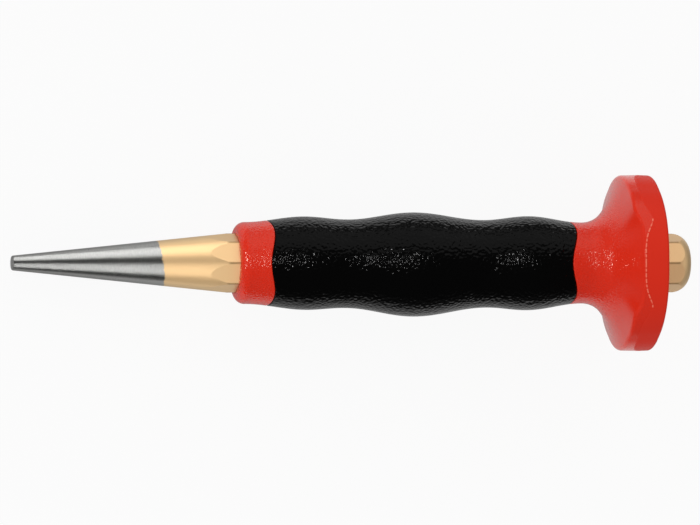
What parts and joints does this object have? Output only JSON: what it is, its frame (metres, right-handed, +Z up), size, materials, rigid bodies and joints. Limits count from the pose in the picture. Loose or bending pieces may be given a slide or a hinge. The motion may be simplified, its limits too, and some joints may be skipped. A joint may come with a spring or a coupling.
{
  "type": "taper punch",
  "caption": "Taper punch: a lacquered octagonal steel bar with a long conical point, held in a moulded handle with a soft swelled grip and a broad, nearly round hand guard below the striking head.",
  "frame": {"origin": "middle of the footprint of the lying tool, on the surface that it lies on", "axes": "+X along the tool from the tip to the striking head, rising 6.4 degrees; +Z up; the tool lies on its collar and on one flat of its guard"},
  "size_m": [0.1756, 0.0446, 0.0435],
  "materials": {
    "bar": "satin gold lacquer on tool steel, the point ground bare",
    "core": "fine grained red hard plastic",
    "grip": "fine grained black soft elastomer"
  },
  "bodies": {
    "root": {"punch_bar": "bar", "handle_core": "core", "grip_sleeve": "grip"}
  },
  "joints": []
}
